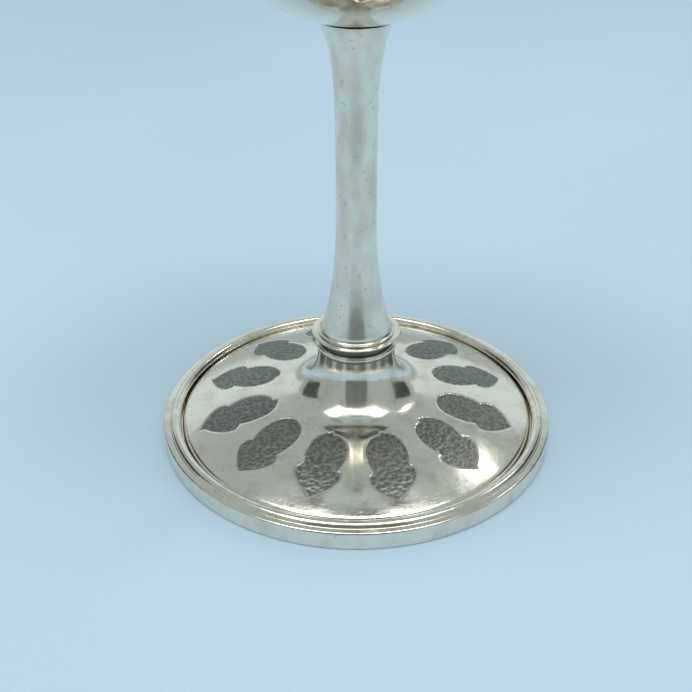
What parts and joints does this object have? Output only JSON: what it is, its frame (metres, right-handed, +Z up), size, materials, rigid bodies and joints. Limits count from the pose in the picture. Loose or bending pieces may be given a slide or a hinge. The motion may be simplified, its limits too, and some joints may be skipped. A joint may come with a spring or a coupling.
{
  "type": "ciborium",
  "caption": "Covered silver cup on a slender waisted stem and a wide low-domed foot, with a lift-off domed lid topped by a round knop and a plain cross.",
  "frame": {"origin": "centre of the foot's underside, on the surface that the vessel stands on", "axes": "+Z up along the axis of the stem; -Y is the front, which faces the flat side of the cross; +X to the right seen from the front"},
  "size_m": [0.076, 0.076, 0.1811],
  "materials": {
    "silver": "polished silver plate, lightly tarnished and finely scratched",
    "silver_bowl": "polished silver plate outside, gilt inside",
    "brass": "plain turned brass, dulled"
  },
  "bodies": {
    "vessel": {"foot_rim": "silver", "foot_shell": "silver", "neck_bead": "silver", "stem_collar": "silver", "stem": "silver", "bowl": "silver_bowl", "bowl_rim": "silver", "bowl_boss": "brass", "tie_rod": "brass", "tie_washer": "brass", "tie_nut": "brass"},
    "lid": {"lid_rim": "silver", "lid_bezel": "silver", "lid_shell": "silver", "finial_collar": "silver", "knop": "silver", "cross": "silver", "finial_stud": "brass", "finial_washer": "brass", "finial_nut": "brass"}
  },
  "joints": [
    {"name": "lid_lift", "type": "slide", "parent": "vessel", "child": "lid", "axis": [0, 0, 1], "range_m": [0, 0.06]}
  ]
}
